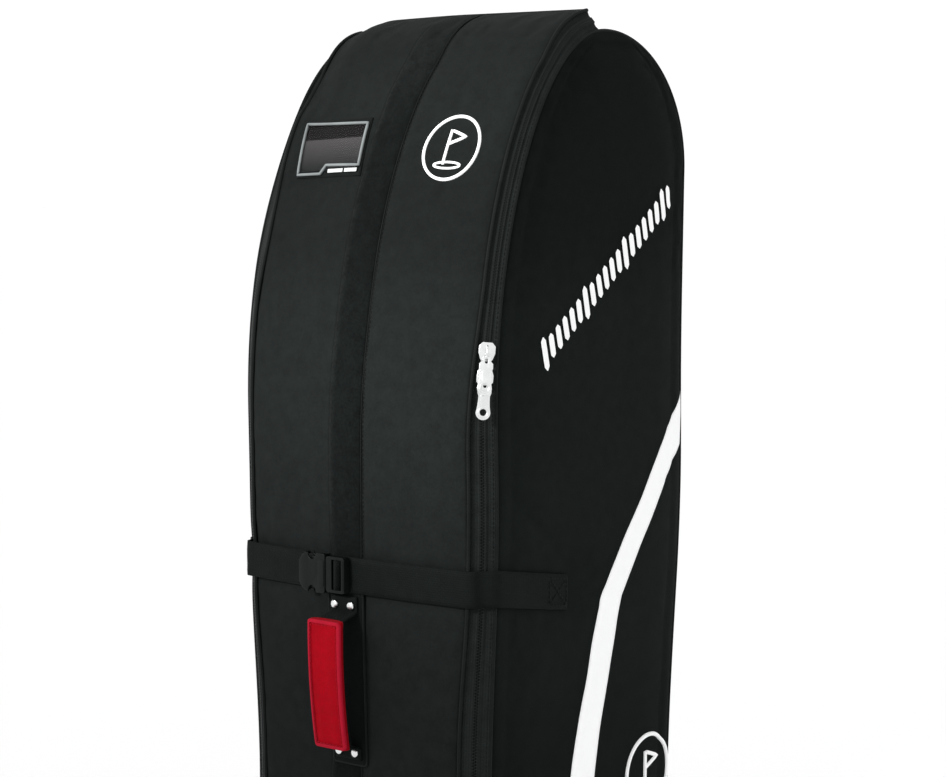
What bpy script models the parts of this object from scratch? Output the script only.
"""Wheeled soft-sided golf travel cover: structure, moving parts and sizes, in metres, +Z up.

The case stands on its base with its front towards -Y and its right side panel towards +X.
Depths are measured from the front piping line of the side panels, which lies at y = FRONT_Y.
"""
import math

import bmesh
import bpy
from mathutils import Matrix, Vector

# ---- driving dimensions -------------------------------------------------------------------
FRONT_Y = -0.1265           # world y of the side panels' front piping line
HALF_WIDTH = 0.176          # outer face of a side panel
SIDE_TOP = 1.240            # highest point of a side panel
DEPTH = 0.329               # side panel, front to back, at the shoulder
BACK_LEAN = 0.022           # metres the back closes in per metre downwards
ARCH_START = 0.823          # height where the front starts to curve back
FRONT_ARCH = 0.185          # depth of the front quarter of the arch
BACK_ARCH_HEIGHT = 0.145    # height of the back quarter of the arch
GUSSET_OUT_LOW = 0.021      # how far the zip gusset lifts the front off the side panels
GUSSET_OUT_TOP = 0.013      # the same round the arch
GUSSET_OUT_END = 0.019      # the same where the flap ends on top
GUSSET_IN_LOW = 0.020       # gusset width across the front, low down
GUSSET_IN_TOP = 0.014       # the same at the crown
GUSSET_BLEND = (0.80, 0.98)  # heights between which the gusset narrows
END_BLEND = (1.195, 1.236)  # heights between which it rises again towards the flap's end
CROWN_LOW = 0.009           # how far the middle of the front stands out, low down
CROWN_TOP = 0.003           # the same at the flap's end
CROWN_BLEND = (0.95, 1.20)
FOLD_Z = 0.715              # fold line on which the front flap opens
FLAP_DEPTH = 0.172          # depth at which the flap ends on top
GAP = 0.0003

SIDE_THICK = 0.004
FRONT_THICK = 0.0035
GUSSET_THICK = 0.0022
BACK_THICK = 0.005
PIPING_R = 0.0021
CHAIN_R = 0.0011

BAND_X = (-0.026, 0.018)    # the dark centre band of the front
TRAY_FLOOR_Z = 0.012
TRAY_TOP_Z = 0.086
TRAY_WALL = 0.004

STRAP_Z = 0.666
STRAP_WIDTH = 0.038
STRAP_THICK = 0.0018
STRAP_END_DEPTH = 0.112
STRAP_DROP = 0.018          # how much lower the strap is sewn on than it crosses the front
STRAP_LIFT = 0.005
BUCKLE_X = -0.0190          # joint between the buckle's two halves
SOCKET_LENGTH = 0.038
PLUG_LENGTH = 0.0270
PLUG_SLOTS = (0.0110, 0.0205)  # the ladder's slots, from the joint
BUCKLE_HEIGHT = 0.0425
BUCKLE_THICK = 0.011
BUCKLE_ROUND = 0.0025
SOCKET_MOUTH = (0.031, 0.0070, 0.0360)
MOUTH_MIDDLE = 0.0145       # from the joint to the middle of the mouth
SIDE_WINDOW = (0.0090, 0.0072, 0.0160)
WINDOW_MIDDLE = 0.0205      # from the joint to the middle of the side windows
PLUG_SLOT = (0.0045, 0.030, 0.0325)
PLUG_TRIM = (0.001, 0.004)  # how much thinner and lower the plug is than the socket
PLUG_ROUND = 0.0022
PRONG_THICK = 0.0050
PRONG_OFFSET = 0.0112       # prong roots above and below the strap's middle
PRONG_ROOT = 0.0006         # prong roots inside the socket's end

HANDLE_X = -0.003
HANDLE_LEAN = 0.006         # how far the handle leans to the right towards its bottom
HANDLE_LOW = 0.4685
HANDLE_HIGH = 0.643
GRIP_LOW = 0.4865
GRIP_HIGH = 0.6212
GRIP_WIDTH = 0.049
GRIP_THICK = 0.009
GRIP_RISE = 0.0218          # how far the middle of the webbing stands off its backing
GRIP_SAG = 0.0040           # how much less it stands off GRIP_REACH away from its peak
GRIP_REACH = 0.075
GRIP_PEAK_Z = 0.579
RAMP_LOW = 0.0034           # length over which the webbing climbs to the grip, at the bottom
RAMP_HIGH = 0.0050          # and at the top
BACKING_WIDTH = 0.050
BACKING_MARGIN = 0.006      # how far the backing goes past the webbing's ends
BACKING_LIFT = 0.0004
BACKING_THICK = 0.0022
WEB_WIDTH = 0.038
WEB_BACK = 0.0034           # back of the webbing, off the front
WEB_THICK = 0.0024
GRIP_OFF_WEB = 0.0028
RIVET_PITCH = 0.023
RIVET_R = 0.0048
RIVET_TALL = 0.0022
RIVET_TOP, RIVET_BOTTOM = 0.0097, 0.0076  # rivets from the webbing's ends
RIVET_ROUND = 0.0006

PATCH = ((-0.144, -0.028), (1.076, 1.142))   # x and z limits of the window's patch
WINDOW = ((-0.134, -0.034), (1.081, 1.139))  # and of its clear cover
PATCH_LIFT, PATCH_THICK = 0.0004, 0.0010
WINDOW_LIFT, WINDOW_THICK = 0.0026, 0.0005

SLIDER_UPPER_Z = 0.908
SLIDER_LOWER_Z = 0.884
SLIDER_SIZE = (0.0175, 0.0055, 0.0200)
SLIDER_LIFT = 0.0032
SLIDER_ROUND = 0.0016
PULL_WIDTH = 0.0150
PULL_LENGTH = 0.0390
PULL_THICK = 0.0020
PULL_LIFT = 0.0123
PULL_DROP = 0.0055
PULL_HOLE_R = 0.0036
PULL_HOLE_UP = 0.0078       # hole's middle above the pull's tip
UPPER_PULL_TILT = math.radians(7.0)

TRAY_CORNER = 0.024
TRAY_FOOT_ROUND = 0.010
WELL = (0.046, 0.076, 0.090)
WELL_BEYOND = 0.010         # how far the wheel wells cut past the tray's back
HOUSING_TRIM = (0.0008, 0.012)
HOUSING_HEIGHT = 0.0700
HOUSING_WALL = 0.0030
BASE_BOARD = (0.300, 0.215, 0.005)
BASE_BOARD_DEPTH = 0.0995   # depth of the base board's middle
FRONT_SKID, FRONT_SKID_DEPTH = (0.240, 0.030), 0.022
REAR_SKID, REAR_SKID_DEPTH = (0.150, 0.030), 0.272
SKID_ROUND = 0.003

WHEEL_X = 0.118
WHEEL_DEPTH = 0.286
WHEEL_R = 0.036
WHEEL_Z = 0.0368
WHEEL_WIDTH = 0.024
TYRE_DEPTH = 0.0110         # thickness of the tyre round the hub
TREAD_EDGE = (0.0040, 0.0015)
TYRE_SHOULDER = 0.0070
HUB_BOSS_R = 0.0100
HUB_WEB_IN = 0.0050         # the hub's web lies this far in from its sides
HUB_RIM = 0.0040
AXLE_R = 0.0039
AXLE_TRIM = 0.0076          # how much shorter the axle is than the well is wide

TIE_Z = 0.780
TIE_STRAP = (0.300, 0.0020, 0.030)
TIE_BUCKLE = (0.052, 0.0080, 0.038)
TIE_BUCKLE_X = 0.020
TIE_OFF_BOARD = 0.0060
TIE_BUCKLE_OFF = 0.0056

PARTS = "golf_travel_cover"
CUTTERS = "cutters"

# ---- scene and helpers --------------------------------------------------------------------
for old in list(bpy.data.objects):
    bpy.data.objects.remove(old, do_unlink=True)


def collection(name):
    found = bpy.data.collections.get(name) or bpy.data.collections.new(name)
    if found.name not in bpy.context.scene.collection.children:
        bpy.context.scene.collection.children.link(found)
    return found


parts = collection(PARTS)
cutters = collection(CUTTERS)


def material(name, colour, roughness, metallic=0.0):
    mat = bpy.data.materials.new(name)
    mat.use_nodes = True
    shader = mat.node_tree.nodes["Principled BSDF"]
    shader.inputs["Base Color"].default_value = (*colour, 1.0)
    shader.inputs["Roughness"].default_value = roughness
    shader.inputs["Metallic"].default_value = metallic
    return mat


FABRIC = material("front_fabric", (0.028, 0.032, 0.031), 0.85)
BAND = material("band_fabric", (0.016, 0.019, 0.018), 0.85)
SIDE = material("side_fabric", (0.012, 0.014, 0.013), 0.88)
PIPING = material("piping", (0.010, 0.012, 0.011), 0.70)
WEBBING = material("webbing", (0.012, 0.014, 0.014), 0.80)
ZIP_TAPE = material("zip_tape", (0.013, 0.015, 0.015), 0.80)
ZIP_CHAIN = material("zip_chain", (0.010, 0.011, 0.011), 0.45)
METAL = material("bright_metal", (0.72, 0.73, 0.73), 0.25, 1.0)
BUCKLE = material("buckle_plastic", (0.014, 0.016, 0.016), 0.40)
RED = material("red_grip", (0.43, 0.003, 0.012), 0.75)
TRAY = material("base_plastic", (0.013, 0.014, 0.014), 0.50)
BOARD = material("inner_board", (0.10, 0.10, 0.10), 0.80)
PATCH_CLOTH = material("window_patch", (0.020, 0.021, 0.022), 0.60)
CLEAR = material("clear_window", (0.25, 0.26, 0.26), 0.12)
TYRE = material("tyre", (0.020, 0.020, 0.020), 0.75)
HUB = material("wheel_hub", (0.060, 0.062, 0.065), 0.45)
AXLE = material("axle_steel", (0.45, 0.45, 0.46), 0.35, 1.0)


def finish(obj, mat):
    """Puts an object in the parts collection with its material and smooth rounds."""
    for holder in list(obj.users_collection):
        holder.objects.unlink(obj)
    parts.objects.link(obj)
    obj.data.materials.clear()
    obj.data.materials.append(mat)
    if obj.type == "MESH":
        obj.data.shade_smooth()
        obj.data.set_sharp_from_angle(angle=math.radians(35))
    return obj


def sheet(name, columns, rows, place, thickness, mat, inward=True):
    """A grid laid out by place(u, v), u and v from 0 to 1, thickened into a closed panel.

    The grid faces u cross v. The thickness goes behind that face, or in front of it.
    """
    mesh = bpy.data.meshes.new(name)
    grid = bmesh.new()
    bmesh.ops.create_grid(grid, x_segments=columns, y_segments=rows, size=0.5)
    for vertex in grid.verts:
        vertex.co = place(vertex.co.x + 0.5, vertex.co.y + 0.5)
    grid.to_mesh(mesh)
    grid.free()
    obj = bpy.data.objects.new(name, mesh)
    parts.objects.link(obj)
    solid = obj.modifiers.new("thickness", "SOLIDIFY")
    solid.thickness = thickness
    solid.offset = -1.0 if inward else 1.0
    solid.use_even_offset = True
    return finish(obj, mat)


def tube(name, points, radius, mat):
    """A round bar along a polyline, with its caps welded on."""
    curve = bpy.data.curves.new(name, "CURVE")
    curve.dimensions = "3D"
    curve.bevel_depth = radius
    curve.bevel_resolution = 1
    curve.use_fill_caps = True
    spline = curve.splines.new("POLY")
    spline.points.add(len(points) - 1)
    for point, place in zip(spline.points, points):
        point.co = (*place, 1.0)
    obj = bpy.data.objects.new(name, curve)
    parts.objects.link(obj)
    return finish(obj, mat)


def plate(name, outline, thickness, matrix, mat, holes=()):
    """A flat outline in the local XY plane, extruded along local Z, with its holes."""
    curve = bpy.data.curves.new(name, "CURVE")
    curve.dimensions = "2D"
    curve.fill_mode = "BOTH"
    curve.extrude = thickness / 2
    for loop in (outline, *holes):
        spline = curve.splines.new("POLY")
        spline.points.add(len(loop) - 1)
        spline.use_cyclic_u = True
        for point, place in zip(spline.points, loop):
            point.co = (place[0], place[1], 0.0, 1.0)
    obj = bpy.data.objects.new(name, curve)
    obj.matrix_world = matrix
    parts.objects.link(obj)
    return finish(obj, mat)


def block(name, size, centre, mat, bevel=0.0, segments=2):
    """A box with rounded edges, its size applied to its mesh."""
    bpy.ops.mesh.primitive_cube_add(size=1.0, location=centre)
    obj = bpy.context.object
    obj.name = name
    obj.data.transform(Matrix.Diagonal((*size, 1.0)))
    if bevel:
        rounded = obj.modifiers.new("rounded", "BEVEL")
        rounded.width = bevel
        rounded.segments = segments
        rounded.limit_method = "NONE"
    return finish(obj, mat)


def cylinder(name, radius, length, centre, axis, mat, sides=16, bevel=0.0):
    """A round bar, its length along the given axis."""
    turn = Vector((0, 0, 1)).rotation_difference(Vector(axis)).to_euler()
    bpy.ops.mesh.primitive_cylinder_add(
        vertices=sides, radius=radius, depth=length, location=centre, rotation=turn
    )
    obj = bpy.context.object
    obj.name = name
    if bevel:
        rounded = obj.modifiers.new("rounded", "BEVEL")
        rounded.width = bevel
        rounded.segments = 2
        rounded.limit_method = "ANGLE"
    return finish(obj, mat)


def cut(obj, size, centre):
    """Takes a box out of an object."""
    bpy.ops.mesh.primitive_cube_add(size=1.0, location=centre)
    cutter = bpy.context.object
    cutter.name = f"cut_{obj.name}_{len(cutters.objects)}"
    cutter.data.transform(Matrix.Diagonal((*size, 1.0)))
    for holder in list(cutter.users_collection):
        holder.objects.unlink(cutter)
    cutters.objects.link(cutter)
    cutter.hide_render = True
    cutter.display_type = "WIRE"
    boolean = obj.modifiers.new("cut", "BOOLEAN")
    boolean.operation = "DIFFERENCE"
    boolean.object = cutter


# ---- the surfaces of the cover ------------------------------------------------------------
def smooth_step(value, low, high):
    part = min(max((value - low) / (high - low), 0.0), 1.0)
    return part * part * (3 - 2 * part)


def gusset_in(z):
    """Width of the zip gusset across the front at a height."""
    return GUSSET_IN_LOW + (GUSSET_IN_TOP - GUSSET_IN_LOW) * smooth_step(z, *GUSSET_BLEND)


def gusset_out(z):
    """How far the gusset lifts the front off the side panels at a height."""
    arch = GUSSET_OUT_LOW + (GUSSET_OUT_TOP - GUSSET_OUT_LOW) * smooth_step(z, *GUSSET_BLEND)
    return arch + (GUSSET_OUT_END - GUSSET_OUT_TOP) * smooth_step(z, *END_BLEND)


def crown(z):
    """How far the middle of the front stands out beyond its edges at a height."""
    return CROWN_LOW + (CROWN_TOP - CROWN_LOW) * smooth_step(z, *CROWN_BLEND)


def gusset_size(z):
    """Width of the gusset from the side panel to the front panel at a height."""
    return math.hypot(gusset_in(z), gusset_out(z))


def front_profile(run):
    """Depth, height and outward normal along the front of the side panel.

    run is negative below the arch, in metres, and 0 to 1 along the front quarter of the arch.
    """
    if run <= 0:
        return 0.0, ARCH_START + run, -1.0, 0.0
    angle = run * math.pi / 2
    rise = SIDE_TOP - ARCH_START
    normal = Vector((-math.cos(angle) / FRONT_ARCH, math.sin(angle) / rise)).normalized()
    depth = FRONT_ARCH * (1 - math.cos(angle))
    return depth, ARCH_START + rise * math.sin(angle), normal.x, normal.y


def run_at(z):
    """The profile's run at a height of the side panel's front edge."""
    if z <= ARCH_START:
        return z - ARCH_START
    return math.asin((z - ARCH_START) / (SIDE_TOP - ARCH_START)) / (math.pi / 2)


def front_point(x, run, out=0.0):
    """A point of the raised, crowned front surface, moved out along its normal."""
    depth, z, ny, nz = front_profile(run)
    across = x / (HALF_WIDTH - gusset_in(z))
    lift = gusset_out(z) + crown(z) * (1 - across * across) + out
    return Vector((x, FRONT_Y + depth + ny * lift, z + nz * lift))


def gusset_point(side, across, run, out=0.0):
    """A point of the zip gusset: across is 0 at the side panel and 1 at the front panel."""
    depth, z, ny, nz = front_profile(run)
    narrow, proud, size = gusset_in(z), gusset_out(z), gusset_size(z)
    lift = proud * across + out * narrow / size
    x = HALF_WIDTH - narrow * across + out * proud / size
    return Vector((side * x, FRONT_Y + depth + ny * lift, z + nz * lift))


def back_profile(part, inset=0.0):
    """Depth and height of the back, set in from its outer face.

    part is -1 to 0 from the flap's end to the top, 0 to 1 round the arch's back quarter, and
    1 to 2 down to the tray.
    """
    reach = DEPTH - FRONT_ARCH
    if part < 0:
        depth, z, ny, nz = front_profile(1 + part * (1 - END_RUN))
        return depth - ny * inset, z - nz * inset
    if part <= 1:
        angle = part * math.pi / 2
        depth = FRONT_ARCH + (reach - inset) * math.sin(angle)
        return depth, SIDE_TOP - BACK_ARCH_HEIGHT + (BACK_ARCH_HEIGHT - inset) * math.cos(angle)
    shoulder = SIDE_TOP - BACK_ARCH_HEIGHT
    z = shoulder + (TRAY_TOP_Z + GAP - shoulder) * (part - 1)
    return DEPTH - inset - BACK_LEAN * (shoulder - z), z


def spaced(low, high, count):
    return [low + (high - low) * step / (count - 1) for step in range(count)]


LOW_RUN = TRAY_TOP_Z + GAP - ARCH_START
FOLD_RUN = FOLD_Z - ARCH_START
END_RUN = math.acos(1 - FLAP_DEPTH / FRONT_ARCH) / (math.pi / 2)


FLAP_STRAIGHT = 2 / 15       # share of the flap's rows below the arch


def lower_run(v):
    return LOW_RUN + (FOLD_RUN - GAP - LOW_RUN) * v


def flap_run(v):
    """Run along the flap: a straight stretch and then the arch up to the flap's end."""
    if v < FLAP_STRAIGHT:
        return (FOLD_RUN + GAP) * (1 - v / FLAP_STRAIGHT)
    return END_RUN * (v - FLAP_STRAIGHT) / (1 - FLAP_STRAIGHT)


# ---- panels of the front ------------------------------------------------------------------
def front_panel(name, low_x, high_x, run, rows, columns, mat):
    """A panel between two x limits; None stands for the gusset's edge."""
    def place(u, v):
        at = run(v)
        edge = HALF_WIDTH - gusset_in(front_profile(at)[1]) - 0.0035
        left = -edge if low_x is None else low_x
        right = edge if high_x is None else high_x
        return front_point(left + (right - left) * u, at)
    return sheet(name, columns, rows, place, FRONT_THICK, mat)


FLAP_ROWS, LOWER_ROWS = 15, 3
for section, run, rows in (("lower_front", lower_run, LOWER_ROWS), ("flap", flap_run, FLAP_ROWS)):
    front_panel(f"{section}_left", None, BAND_X[0] - GAP, run, rows, 3, FABRIC)
    front_panel(f"{section}_band", BAND_X[0], BAND_X[1], run, rows, 1, BAND)
    front_panel(f"{section}_right", BAND_X[1] + GAP, None, run, rows, 3, FABRIC)


END_WALL_INSET, END_WALL_GAP, END_WALL_FOOT = 0.0045, 0.0008, 0.0035


def end_cap(u, v):
    """The wall that closes the raised front where it ends on top."""
    edge = HALF_WIDTH - GUSSET_IN_TOP - END_WALL_INSET
    x = edge * (1 - 2 * u)
    roof = front_point(x, END_RUN, -FRONT_THICK - END_WALL_GAP)
    depth, z, ny, nz = front_profile(END_RUN)
    floor = Vector((x, FRONT_Y + depth + ny * END_WALL_FOOT, z + nz * END_WALL_FOOT))
    return floor.lerp(roof, v)


sheet("flap_end_wall", 4, 1, end_cap, 0.0020, BAND)

# ---- gussets, zip chain and piping, right and left ----------------------------------------
ARCH_RUNS = [0.0] + spaced(0.0, END_RUN, 15)[1:]
TAPER_RUN = 0.795 - ARCH_START      # just below the height where the gusset starts to narrow
MIDDLE_RUN = 0.460 - ARCH_START
FULL_RUNS = [LOW_RUN, MIDDLE_RUN, FOLD_RUN, TAPER_RUN] + ARCH_RUNS
LOWER_RUNS = [LOW_RUN, MIDDLE_RUN, FOLD_RUN - GAP]
FLAP_RUNS = [FOLD_RUN + GAP, TAPER_RUN] + ARCH_RUNS


def pick(values, v):
    """The value at a fraction along an evenly indexed list, which grid rows hit exactly."""
    return values[round(v * (len(values) - 1))]


def gusset(name, side, from_across, to_across, runs):
    def place(u, v):
        return gusset_point(side, from_across + (to_across - from_across) * u, pick(runs, v))
    return sheet(name, 1, len(runs) - 1, place, GUSSET_THICK, ZIP_TAPE)


def chain(name, side, towards, runs):
    """Half of the zip's chain, beside the middle line of the gusset."""
    points = []
    for run in runs:
        across = 0.5 + towards * (CHAIN_R + GAP) / gusset_size(front_profile(run)[1])
        points.append(gusset_point(side, across, run, CHAIN_R + GAP))
    return tube(name, points, CHAIN_R, ZIP_CHAIN)


def front_piping(name, side, runs):
    points = []
    for run in runs:
        at = gusset_point(side, 1.0, run)
        points.append(at + Vector((side * 0.0006, 0.0, 0.0)))
    return tube(name, points, PIPING_R, PIPING)


for side, word in ((-1, "left"), (1, "right")):
    edges = ((0.15, 0.49), (0.51, 0.86))
    if side > 0:
        order = [tuple(reversed(pair)) for pair in edges]
    else:
        order = list(edges)
    gusset(f"side_zip_tape_{word}", side, *order[0], FULL_RUNS)
    gusset(f"lower_zip_tape_{word}", side, *order[1], LOWER_RUNS)
    gusset(f"flap_zip_tape_{word}", side, *order[1], FLAP_RUNS)
    chain(f"side_zip_chain_{word}", side, -1, FULL_RUNS)
    chain(f"flap_zip_chain_{word}", side, 1, FLAP_RUNS)
    front_piping(f"lower_piping_{word}", side, LOWER_RUNS)
    front_piping(f"flap_piping_{word}", side, FLAP_RUNS)

# ---- side panels, with their piping round the whole arch ----------------------------------
SIDE_PLANE = Matrix.Rotation(math.pi / 2, 4, "Z") @ Matrix.Rotation(math.pi / 2, 4, "X")
SIDE_INSET = 0.005


def side_outline(inset):
    """The arch of a side panel in depth and height, set in from its edge."""
    points = [(inset, TRAY_TOP_Z + GAP), (inset, ARCH_START)]
    for run in spaced(0.0, 1.0, 15)[1:]:
        depth, z, ny, nz = front_profile(run)
        points.append((depth - ny * inset, z - nz * inset))
    points += [back_profile(part, inset) for part in spaced(0.0, 1.0, 10)[1:]]
    points.append(back_profile(2.0, inset))
    return points


for side, word in ((-1, "left"), (1, "right")):
    middle = side * (HALF_WIDTH - SIDE_THICK / 2)
    plate(f"side_panel_{word}", side_outline(SIDE_INSET), SIDE_THICK,
          Matrix.Translation((middle, FRONT_Y, 0.0)) @ SIDE_PLANE, SIDE)
    rim = [(side * (HALF_WIDTH - 0.0013), FRONT_Y + depth, z) for depth, z in side_outline(0.0010)]
    tube(f"side_piping_{word}", rim, PIPING_R, PIPING)

# ---- back panel and its stiffening board --------------------------------------------------
BACK_PARTS = [-0.97, 0.0] + spaced(0.0, 1.0, 9)[1:] + [1.5, 2.0]


def back_sheet(inset, half_width, parts_list):
    def place(u, v):
        depth, z = back_profile(pick(parts_list, v), inset)
        return Vector((half_width * (2 * u - 1), FRONT_Y + depth, z))
    return place


sheet("back_panel", 1, len(BACK_PARTS) - 1, back_sheet(0.0, HALF_WIDTH - 0.0055, BACK_PARTS),
      BACK_THICK, SIDE)
BOARD_PARTS = [1.04, 1.5, 1.96]
sheet("back_board", 1, 2, back_sheet(BACK_THICK + 0.0008, 0.140, BOARD_PARTS), 0.003, BOARD)

# ---- card window on the flap --------------------------------------------------------------
def window_sheet(name, low_x, high_x, low_z, high_z, out, thickness, mat):
    low_run, high_run = run_at(low_z), run_at(high_z)

    def place(u, v):
        run = low_run + (high_run - low_run) * v
        return front_point(low_x + (high_x - low_x) * u, run, out)
    return sheet(name, 4, 4, place, thickness, mat, inward=False)


window_sheet("window_patch", *PATCH[0], *PATCH[1], PATCH_LIFT, PATCH_THICK, PATCH_CLOTH)
window_sheet("window_cover", *WINDOW[0], *WINDOW[1], WINDOW_LIFT, WINDOW_THICK, CLEAR)

# ---- compression strap --------------------------------------------------------------------
def strap_plan(side, inner_x):
    """The strap's path in plan from its sewn end on the side to a point of the front."""
    edge = HALF_WIDTH - GUSSET_IN_LOW
    front_y = -GUSSET_OUT_LOW - STRAP_LIFT
    points = [
        (HALF_WIDTH + 0.0036, STRAP_END_DEPTH),
        (HALF_WIDTH + 0.0036, 0.058),
        (HALF_WIDTH + 0.0036, 0.004),
        (HALF_WIDTH + 0.0016, -0.005),
        (edge + 0.0048, front_y + 0.0014),
        (edge - 0.004, front_y - 0.0004),
    ]
    start = edge - 0.004
    for x in spaced(start, side * inner_x, 8)[1:]:
        points.append((x, front_y - CROWN_LOW * (1 - (x / edge) ** 2)))
    return points


def strap(name, side, inner_x):
    plan = strap_plan(side, inner_x)

    def place(u, v):
        x, depth = pick(plan, u)
        height = v if side < 0 else 1 - v
        drop = STRAP_DROP * max(depth, 0.0) / STRAP_END_DEPTH
        z = STRAP_Z - drop + STRAP_WIDTH * (height - 0.5)
        return Vector((side * x, FRONT_Y + depth, z))
    return sheet(name, len(plan) - 1, 1, place, STRAP_THICK, WEBBING)


strap("strap_left", -1, BUCKLE_X - SOCKET_LENGTH + 0.004)
strap("strap_right", 1, BUCKLE_X + 0.004)

# ---- side release buckle ------------------------------------------------------------------
BUCKLE_BACK = -GUSSET_OUT_LOW - CROWN_LOW - STRAP_LIFT - 0.0008
BUCKLE_Y = FRONT_Y + BUCKLE_BACK - BUCKLE_THICK / 2
socket = block("buckle_socket", (SOCKET_LENGTH, BUCKLE_THICK, BUCKLE_HEIGHT),
               (BUCKLE_X - SOCKET_LENGTH / 2 - GAP, BUCKLE_Y, STRAP_Z), BUCKLE, BUCKLE_ROUND)
cut(socket, SOCKET_MOUTH, (BUCKLE_X - MOUTH_MIDDLE, BUCKLE_Y, STRAP_Z))
for end in (-1, 1):
    cut(socket, SIDE_WINDOW,
        (BUCKLE_X - WINDOW_MIDDLE, BUCKLE_Y, STRAP_Z + end * BUCKLE_HEIGHT / 2))
plug = block("buckle_plug",
             (PLUG_LENGTH, BUCKLE_THICK - PLUG_TRIM[0], BUCKLE_HEIGHT - PLUG_TRIM[1]),
             (BUCKLE_X + PLUG_LENGTH / 2 + GAP, BUCKLE_Y, STRAP_Z), BUCKLE, PLUG_ROUND)
for slot_x in PLUG_SLOTS:
    cut(plug, PLUG_SLOT, (BUCKLE_X + slot_x, BUCKLE_Y, STRAP_Z))

PRONG_ROOT_X = BUCKLE_X - PRONG_ROOT
for end, word in ((-1, "lower"), (1, "upper")):
    outline = [(0.0, -0.0025), (0.0, 0.0025), (-0.014, 0.0030), (-0.016, 0.0058),
               (-0.022, 0.0058), (-0.0265, 0.0010), (-0.0255, -0.0020), (-0.014, -0.0025)]
    shaped = [(x, end * z) for x, z in outline]
    turn = Matrix.Rotation(math.pi / 2, 4, "X")
    plate(f"buckle_prong_{word}", shaped, PRONG_THICK,
          Matrix.Translation((PRONG_ROOT_X, BUCKLE_Y, STRAP_Z + end * PRONG_OFFSET)) @ turn,
          BUCKLE)

# ---- handle on the front ------------------------------------------------------------------
def handle_point(x, z, out):
    lean = HANDLE_LEAN * (HANDLE_HIGH - z) / (HANDLE_HIGH - HANDLE_LOW)
    return front_point(x + lean, run_at(z), out)


def handle_base_place(u, v):
    x = HANDLE_X + BACKING_WIDTH * (u - 0.5)
    low, high = HANDLE_LOW - BACKING_MARGIN, HANDLE_HIGH + BACKING_MARGIN
    return handle_point(x, low + (high - low) * v, BACKING_LIFT)


sheet("handle_base", 3, 1, handle_base_place, BACKING_THICK, WEBBING, inward=False)

GRIP_ZS = spaced(GRIP_LOW, GRIP_HIGH, 13)
WEB_ZS = [HANDLE_LOW, GRIP_LOW - RAMP_LOW] + GRIP_ZS + [GRIP_HIGH + RAMP_HIGH, HANDLE_HIGH]


def handle_rise(z):
    """How far the handle's webbing stands off its backing at a height."""
    held = min(max(z, GRIP_LOW), GRIP_HIGH)
    arch = GRIP_RISE - GRIP_SAG * ((held - GRIP_PEAK_Z) / GRIP_REACH) ** 2
    climb = min((z - GRIP_LOW) / RAMP_LOW + 1, (GRIP_HIGH - z) / RAMP_HIGH + 1, 1.0)
    return arch * max(0.0, climb)


def handle_web_place(u, v):
    z = pick(WEB_ZS, v)
    return handle_point(HANDLE_X + WEB_WIDTH * (u - 0.5), z, WEB_BACK + handle_rise(z))


sheet("handle_web", 2, len(WEB_ZS) - 1, handle_web_place, WEB_THICK, WEBBING, inward=False)


def grip_place(u, v):
    z = pick(GRIP_ZS, v)
    lift = WEB_BACK + WEB_THICK + GRIP_OFF_WEB + handle_rise(z)
    return handle_point(HANDLE_X + GRIP_WIDTH * (u - 0.5), z, lift)


sheet("handle_grip", 3, len(GRIP_ZS) - 1, grip_place, GRIP_THICK, RED, inward=False)

for height, row in ((HANDLE_HIGH - RIVET_TOP, "top"), (HANDLE_LOW + RIVET_BOTTOM, "bottom")):
    for side, word in ((-1, "left"), (1, "right")):
        x = HANDLE_X + side * RIVET_PITCH / 2
        at = handle_point(x, height, WEB_BACK + WEB_THICK + 0.0004 + RIVET_TALL / 2)
        cylinder(f"rivet_{row}_{word}", RIVET_R, RIVET_TALL, at, (0, -1, 0), METAL, 14,
                 RIVET_ROUND)

# ---- the two zip sliders and their pulls, meeting on the right ----------------------------
def slider_frame(z):
    """Right-hand frame on the right gusset: x across it, y into it, z up along it."""
    run = run_at(z)
    middle = gusset_point(1, 0.5, run)
    up = (gusset_point(1, 0.5, run + 0.01) - gusset_point(1, 0.5, run - 0.01)).normalized()
    across = (gusset_point(1, 0.0, run) - gusset_point(1, 1.0, run)).normalized()
    inward = up.cross(across).normalized()
    across = inward.cross(up).normalized()
    frame = Matrix((across, inward, up)).transposed().to_4x4()
    return Matrix.Translation(middle) @ frame


def rounded_pull(length, width):
    """Outline of a pull that hangs down from its hinge at the origin."""
    half = width / 2
    shoulder = [(-half * 0.72, 0.0010), (half * 0.72, 0.0010), (half * 0.95, -0.006)]
    waist = [(half * 0.86, -length * 0.62), (half, -length + half)]
    tip = [(half * math.cos(a), -length + half - half * math.sin(a))
           for a in spaced(0, math.pi, 9)[1:-1]]
    mirrored = [(-x, y) for x, y in reversed(waist)] + [(-half * 0.95, -0.006)]
    return shoulder + waist + tip + mirrored


def ring(radius, centre_y, sides=10):
    return [(radius * math.cos(a), centre_y + radius * math.sin(a))
            for a in spaced(0, 2 * math.pi, sides + 1)[:-1]]


for word, z, tilt in (("upper", SLIDER_UPPER_Z, UPPER_PULL_TILT), ("lower", SLIDER_LOWER_Z, 0.0)):
    frame = slider_frame(z)
    body = block(f"zip_slider_{word}", SLIDER_SIZE, (0, 0, 0), METAL, SLIDER_ROUND)
    middle = Vector((0, -SLIDER_LIFT - SLIDER_SIZE[1] / 2, 0))
    body.matrix_world = frame @ Matrix.Translation(middle)
    hinge = Vector((0, -PULL_LIFT, -PULL_DROP))
    turn = Matrix.Rotation(-tilt, 4, "X") @ Matrix.Rotation(math.pi / 2, 4, "X")
    plate(f"zip_pull_{word}", rounded_pull(PULL_LENGTH, PULL_WIDTH), PULL_THICK,
          frame @ Matrix.Translation(hinge) @ turn, METAL,
          (ring(PULL_HOLE_R, -PULL_LENGTH + PULL_HOLE_UP),))

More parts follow.
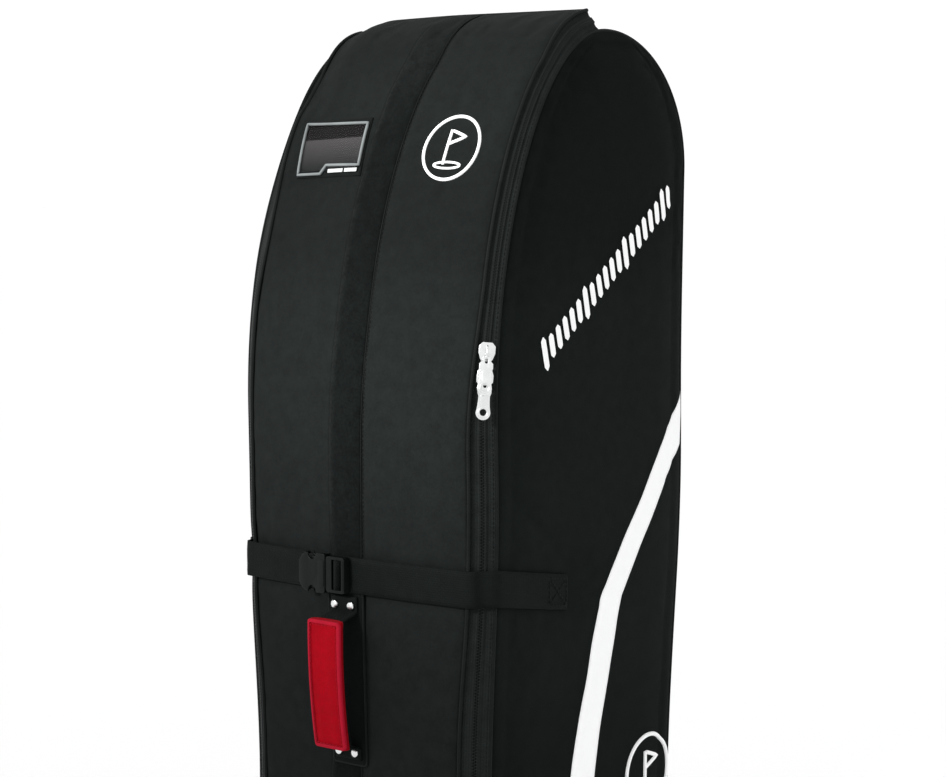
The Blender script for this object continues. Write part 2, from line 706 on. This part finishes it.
# ---- base tray, boards and feet -----------------------------------------------------------
BASE_DEPTH_LOW = -GUSSET_OUT_LOW - 0.004
BASE_DEPTH_HIGH = DEPTH - BACK_LEAN * (SIDE_TOP - BACK_ARCH_HEIGHT - TRAY_TOP_Z) + 0.0005
TRAY_CENTRE_Y = FRONT_Y + (BASE_DEPTH_LOW + BASE_DEPTH_HIGH) / 2
TRAY_SIZE = (2 * HALF_WIDTH + 0.002, BASE_DEPTH_HIGH - BASE_DEPTH_LOW, TRAY_TOP_Z - TRAY_FLOOR_Z)


def tray():
    """An open tray with rounded corners and closed wheel wells at its back corners."""
    mesh = bpy.data.meshes.new("base_tray")
    shape = bmesh.new()
    bmesh.ops.create_cube(shape, size=1.0)
    bmesh.ops.scale(shape, vec=TRAY_SIZE, verts=shape.verts)
    upright = [e for e in shape.edges if abs(e.verts[0].co.z - e.verts[1].co.z) > 0.01]
    bmesh.ops.bevel(shape, geom=upright, offset=TRAY_CORNER, segments=4, affect="EDGES", profile=0.5)
    floor = min(v.co.z for v in shape.verts)
    rim = [e for e in shape.edges if all(abs(v.co.z - floor) < 1e-6 for v in e.verts)]
    bmesh.ops.bevel(shape, geom=rim, offset=TRAY_FOOT_ROUND, segments=3, affect="EDGES", profile=0.5)
    roof = max(v.co.z for v in shape.verts)
    lid = [f for f in shape.faces if all(abs(v.co.z - roof) < 1e-6 for v in f.verts)]
    bmesh.ops.delete(shape, geom=lid, context="FACES_ONLY")
    shape.to_mesh(mesh)
    shape.free()
    obj = bpy.data.objects.new("base_tray", mesh)
    obj.location = (0.0, TRAY_CENTRE_Y, (TRAY_TOP_Z + TRAY_FLOOR_Z) / 2)
    parts.objects.link(obj)
    wall = obj.modifiers.new("wall", "SOLIDIFY")
    wall.thickness = TRAY_WALL
    wall.offset = -1.0
    return finish(obj, TRAY)


base_tray = tray()
WELL_CENTRE_DEPTH = BASE_DEPTH_HIGH - WELL[1] / 2 + WELL_BEYOND
for side, word in ((-1, "left"), (1, "right")):
    at = (side * WHEEL_X, FRONT_Y + WELL_CENTRE_DEPTH, WELL[2] / 2)
    cut(base_tray, WELL, at)
    housing_size = (WELL[0] - HOUSING_TRIM[0], WELL[1] - HOUSING_TRIM[1], HOUSING_HEIGHT)
    housing_at = (at[0], FRONT_Y + BASE_DEPTH_HIGH - 0.0012 - housing_size[1] / 2,
                  TRAY_FLOOR_Z + 0.0005 + housing_size[2] / 2)
    housing = block(f"wheel_housing_{word}", housing_size, housing_at, TRAY)
    cut(housing, (housing_size[0] - 2 * HOUSING_WALL, housing_size[1], housing_size[2]),
        (at[0], housing_at[1] + HOUSING_WALL + 0.0005, housing_at[2] - HOUSING_WALL - 0.0005))

FLOOR_TOP = TRAY_FLOOR_Z + TRAY_WALL + 0.0005
block("base_board", BASE_BOARD,
      (0.0, FRONT_Y + BASE_BOARD_DEPTH, FLOOR_TOP + BASE_BOARD[2] / 2), BOARD, 0.001, 1)
SKID_HEIGHT = TRAY_FLOOR_Z - GAP
block("front_skid", (*FRONT_SKID, SKID_HEIGHT),
      (0.0, FRONT_Y + FRONT_SKID_DEPTH, SKID_HEIGHT / 2), TYRE, SKID_ROUND)
block("rear_skid", (*REAR_SKID, SKID_HEIGHT),
      (0.0, FRONT_Y + REAR_SKID_DEPTH, SKID_HEIGHT / 2), TYRE, SKID_ROUND)

# ---- wheels -------------------------------------------------------------------------------
def turned(name, profile, centre, mat):
    """A ring turned about X from a closed profile of (along the axis, radius) points."""
    mesh = bpy.data.meshes.new(name)
    shape = bmesh.new()
    points = [shape.verts.new((radius, 0.0, along)) for along, radius in profile]
    for first, second in zip(points, points[1:] + points[:1]):
        shape.edges.new((first, second))
    shape.to_mesh(mesh)
    shape.free()
    obj = bpy.data.objects.new(name, mesh)
    obj.location = centre
    obj.rotation_euler = (0.0, math.pi / 2, 0.0)
    parts.objects.link(obj)
    screw = obj.modifiers.new("turned", "SCREW")
    screw.steps = screw.render_steps = 24
    screw.use_merge_vertices = True
    screw.merge_threshold = 0.00001
    return finish(obj, mat)


TYRE_INNER = WHEEL_R - TYRE_DEPTH
TREAD_IN, TREAD_DROP = TREAD_EDGE
for side, word in ((-1, "left"), (1, "right")):
    centre = (side * WHEEL_X, FRONT_Y + WHEEL_DEPTH, WHEEL_Z)
    half = WHEEL_WIDTH / 2
    tyre = [(half - 0.001, TYRE_INNER), (half, WHEEL_R - TYRE_SHOULDER),
            (half - TREAD_IN, WHEEL_R - TREAD_DROP), (0.0, WHEEL_R),
            (-half + TREAD_IN, WHEEL_R - TREAD_DROP), (-half, WHEEL_R - TYRE_SHOULDER),
            (-half + 0.001, TYRE_INNER)]
    turned(f"wheel_tyre_{word}", tyre, centre, TYRE)
    hub = [(half + 0.0005, AXLE_R + 0.0002), (half + 0.0005, HUB_BOSS_R),
           (half - HUB_WEB_IN, HUB_BOSS_R + 0.0015),
           (half - HUB_WEB_IN, TYRE_INNER - HUB_RIM), (half - 0.0015, TYRE_INNER - GAP)]
    hub += [(-along, radius) for along, radius in reversed(hub)]
    turned(f"wheel_hub_{word}", hub, centre, HUB)
    cylinder(f"wheel_axle_{word}", AXLE_R, WELL[0] - AXLE_TRIM, centre, (1, 0, 0), AXLE, 20)

# ---- tie-down strap inside, across the back board -----------------------------------------
tie_depth = back_profile(1 + (SIDE_TOP - BACK_ARCH_HEIGHT - TIE_Z)
                         / (SIDE_TOP - BACK_ARCH_HEIGHT - TRAY_TOP_Z - GAP))[0]
tie_y = FRONT_Y + tie_depth - BACK_THICK - TIE_OFF_BOARD
block("tie_strap", TIE_STRAP, (0.0, tie_y, TIE_Z), WEBBING, 0.0004, 1)
block("tie_buckle", TIE_BUCKLE, (TIE_BUCKLE_X, tie_y - TIE_BUCKLE_OFF, TIE_Z), BUCKLE, 0.0020)
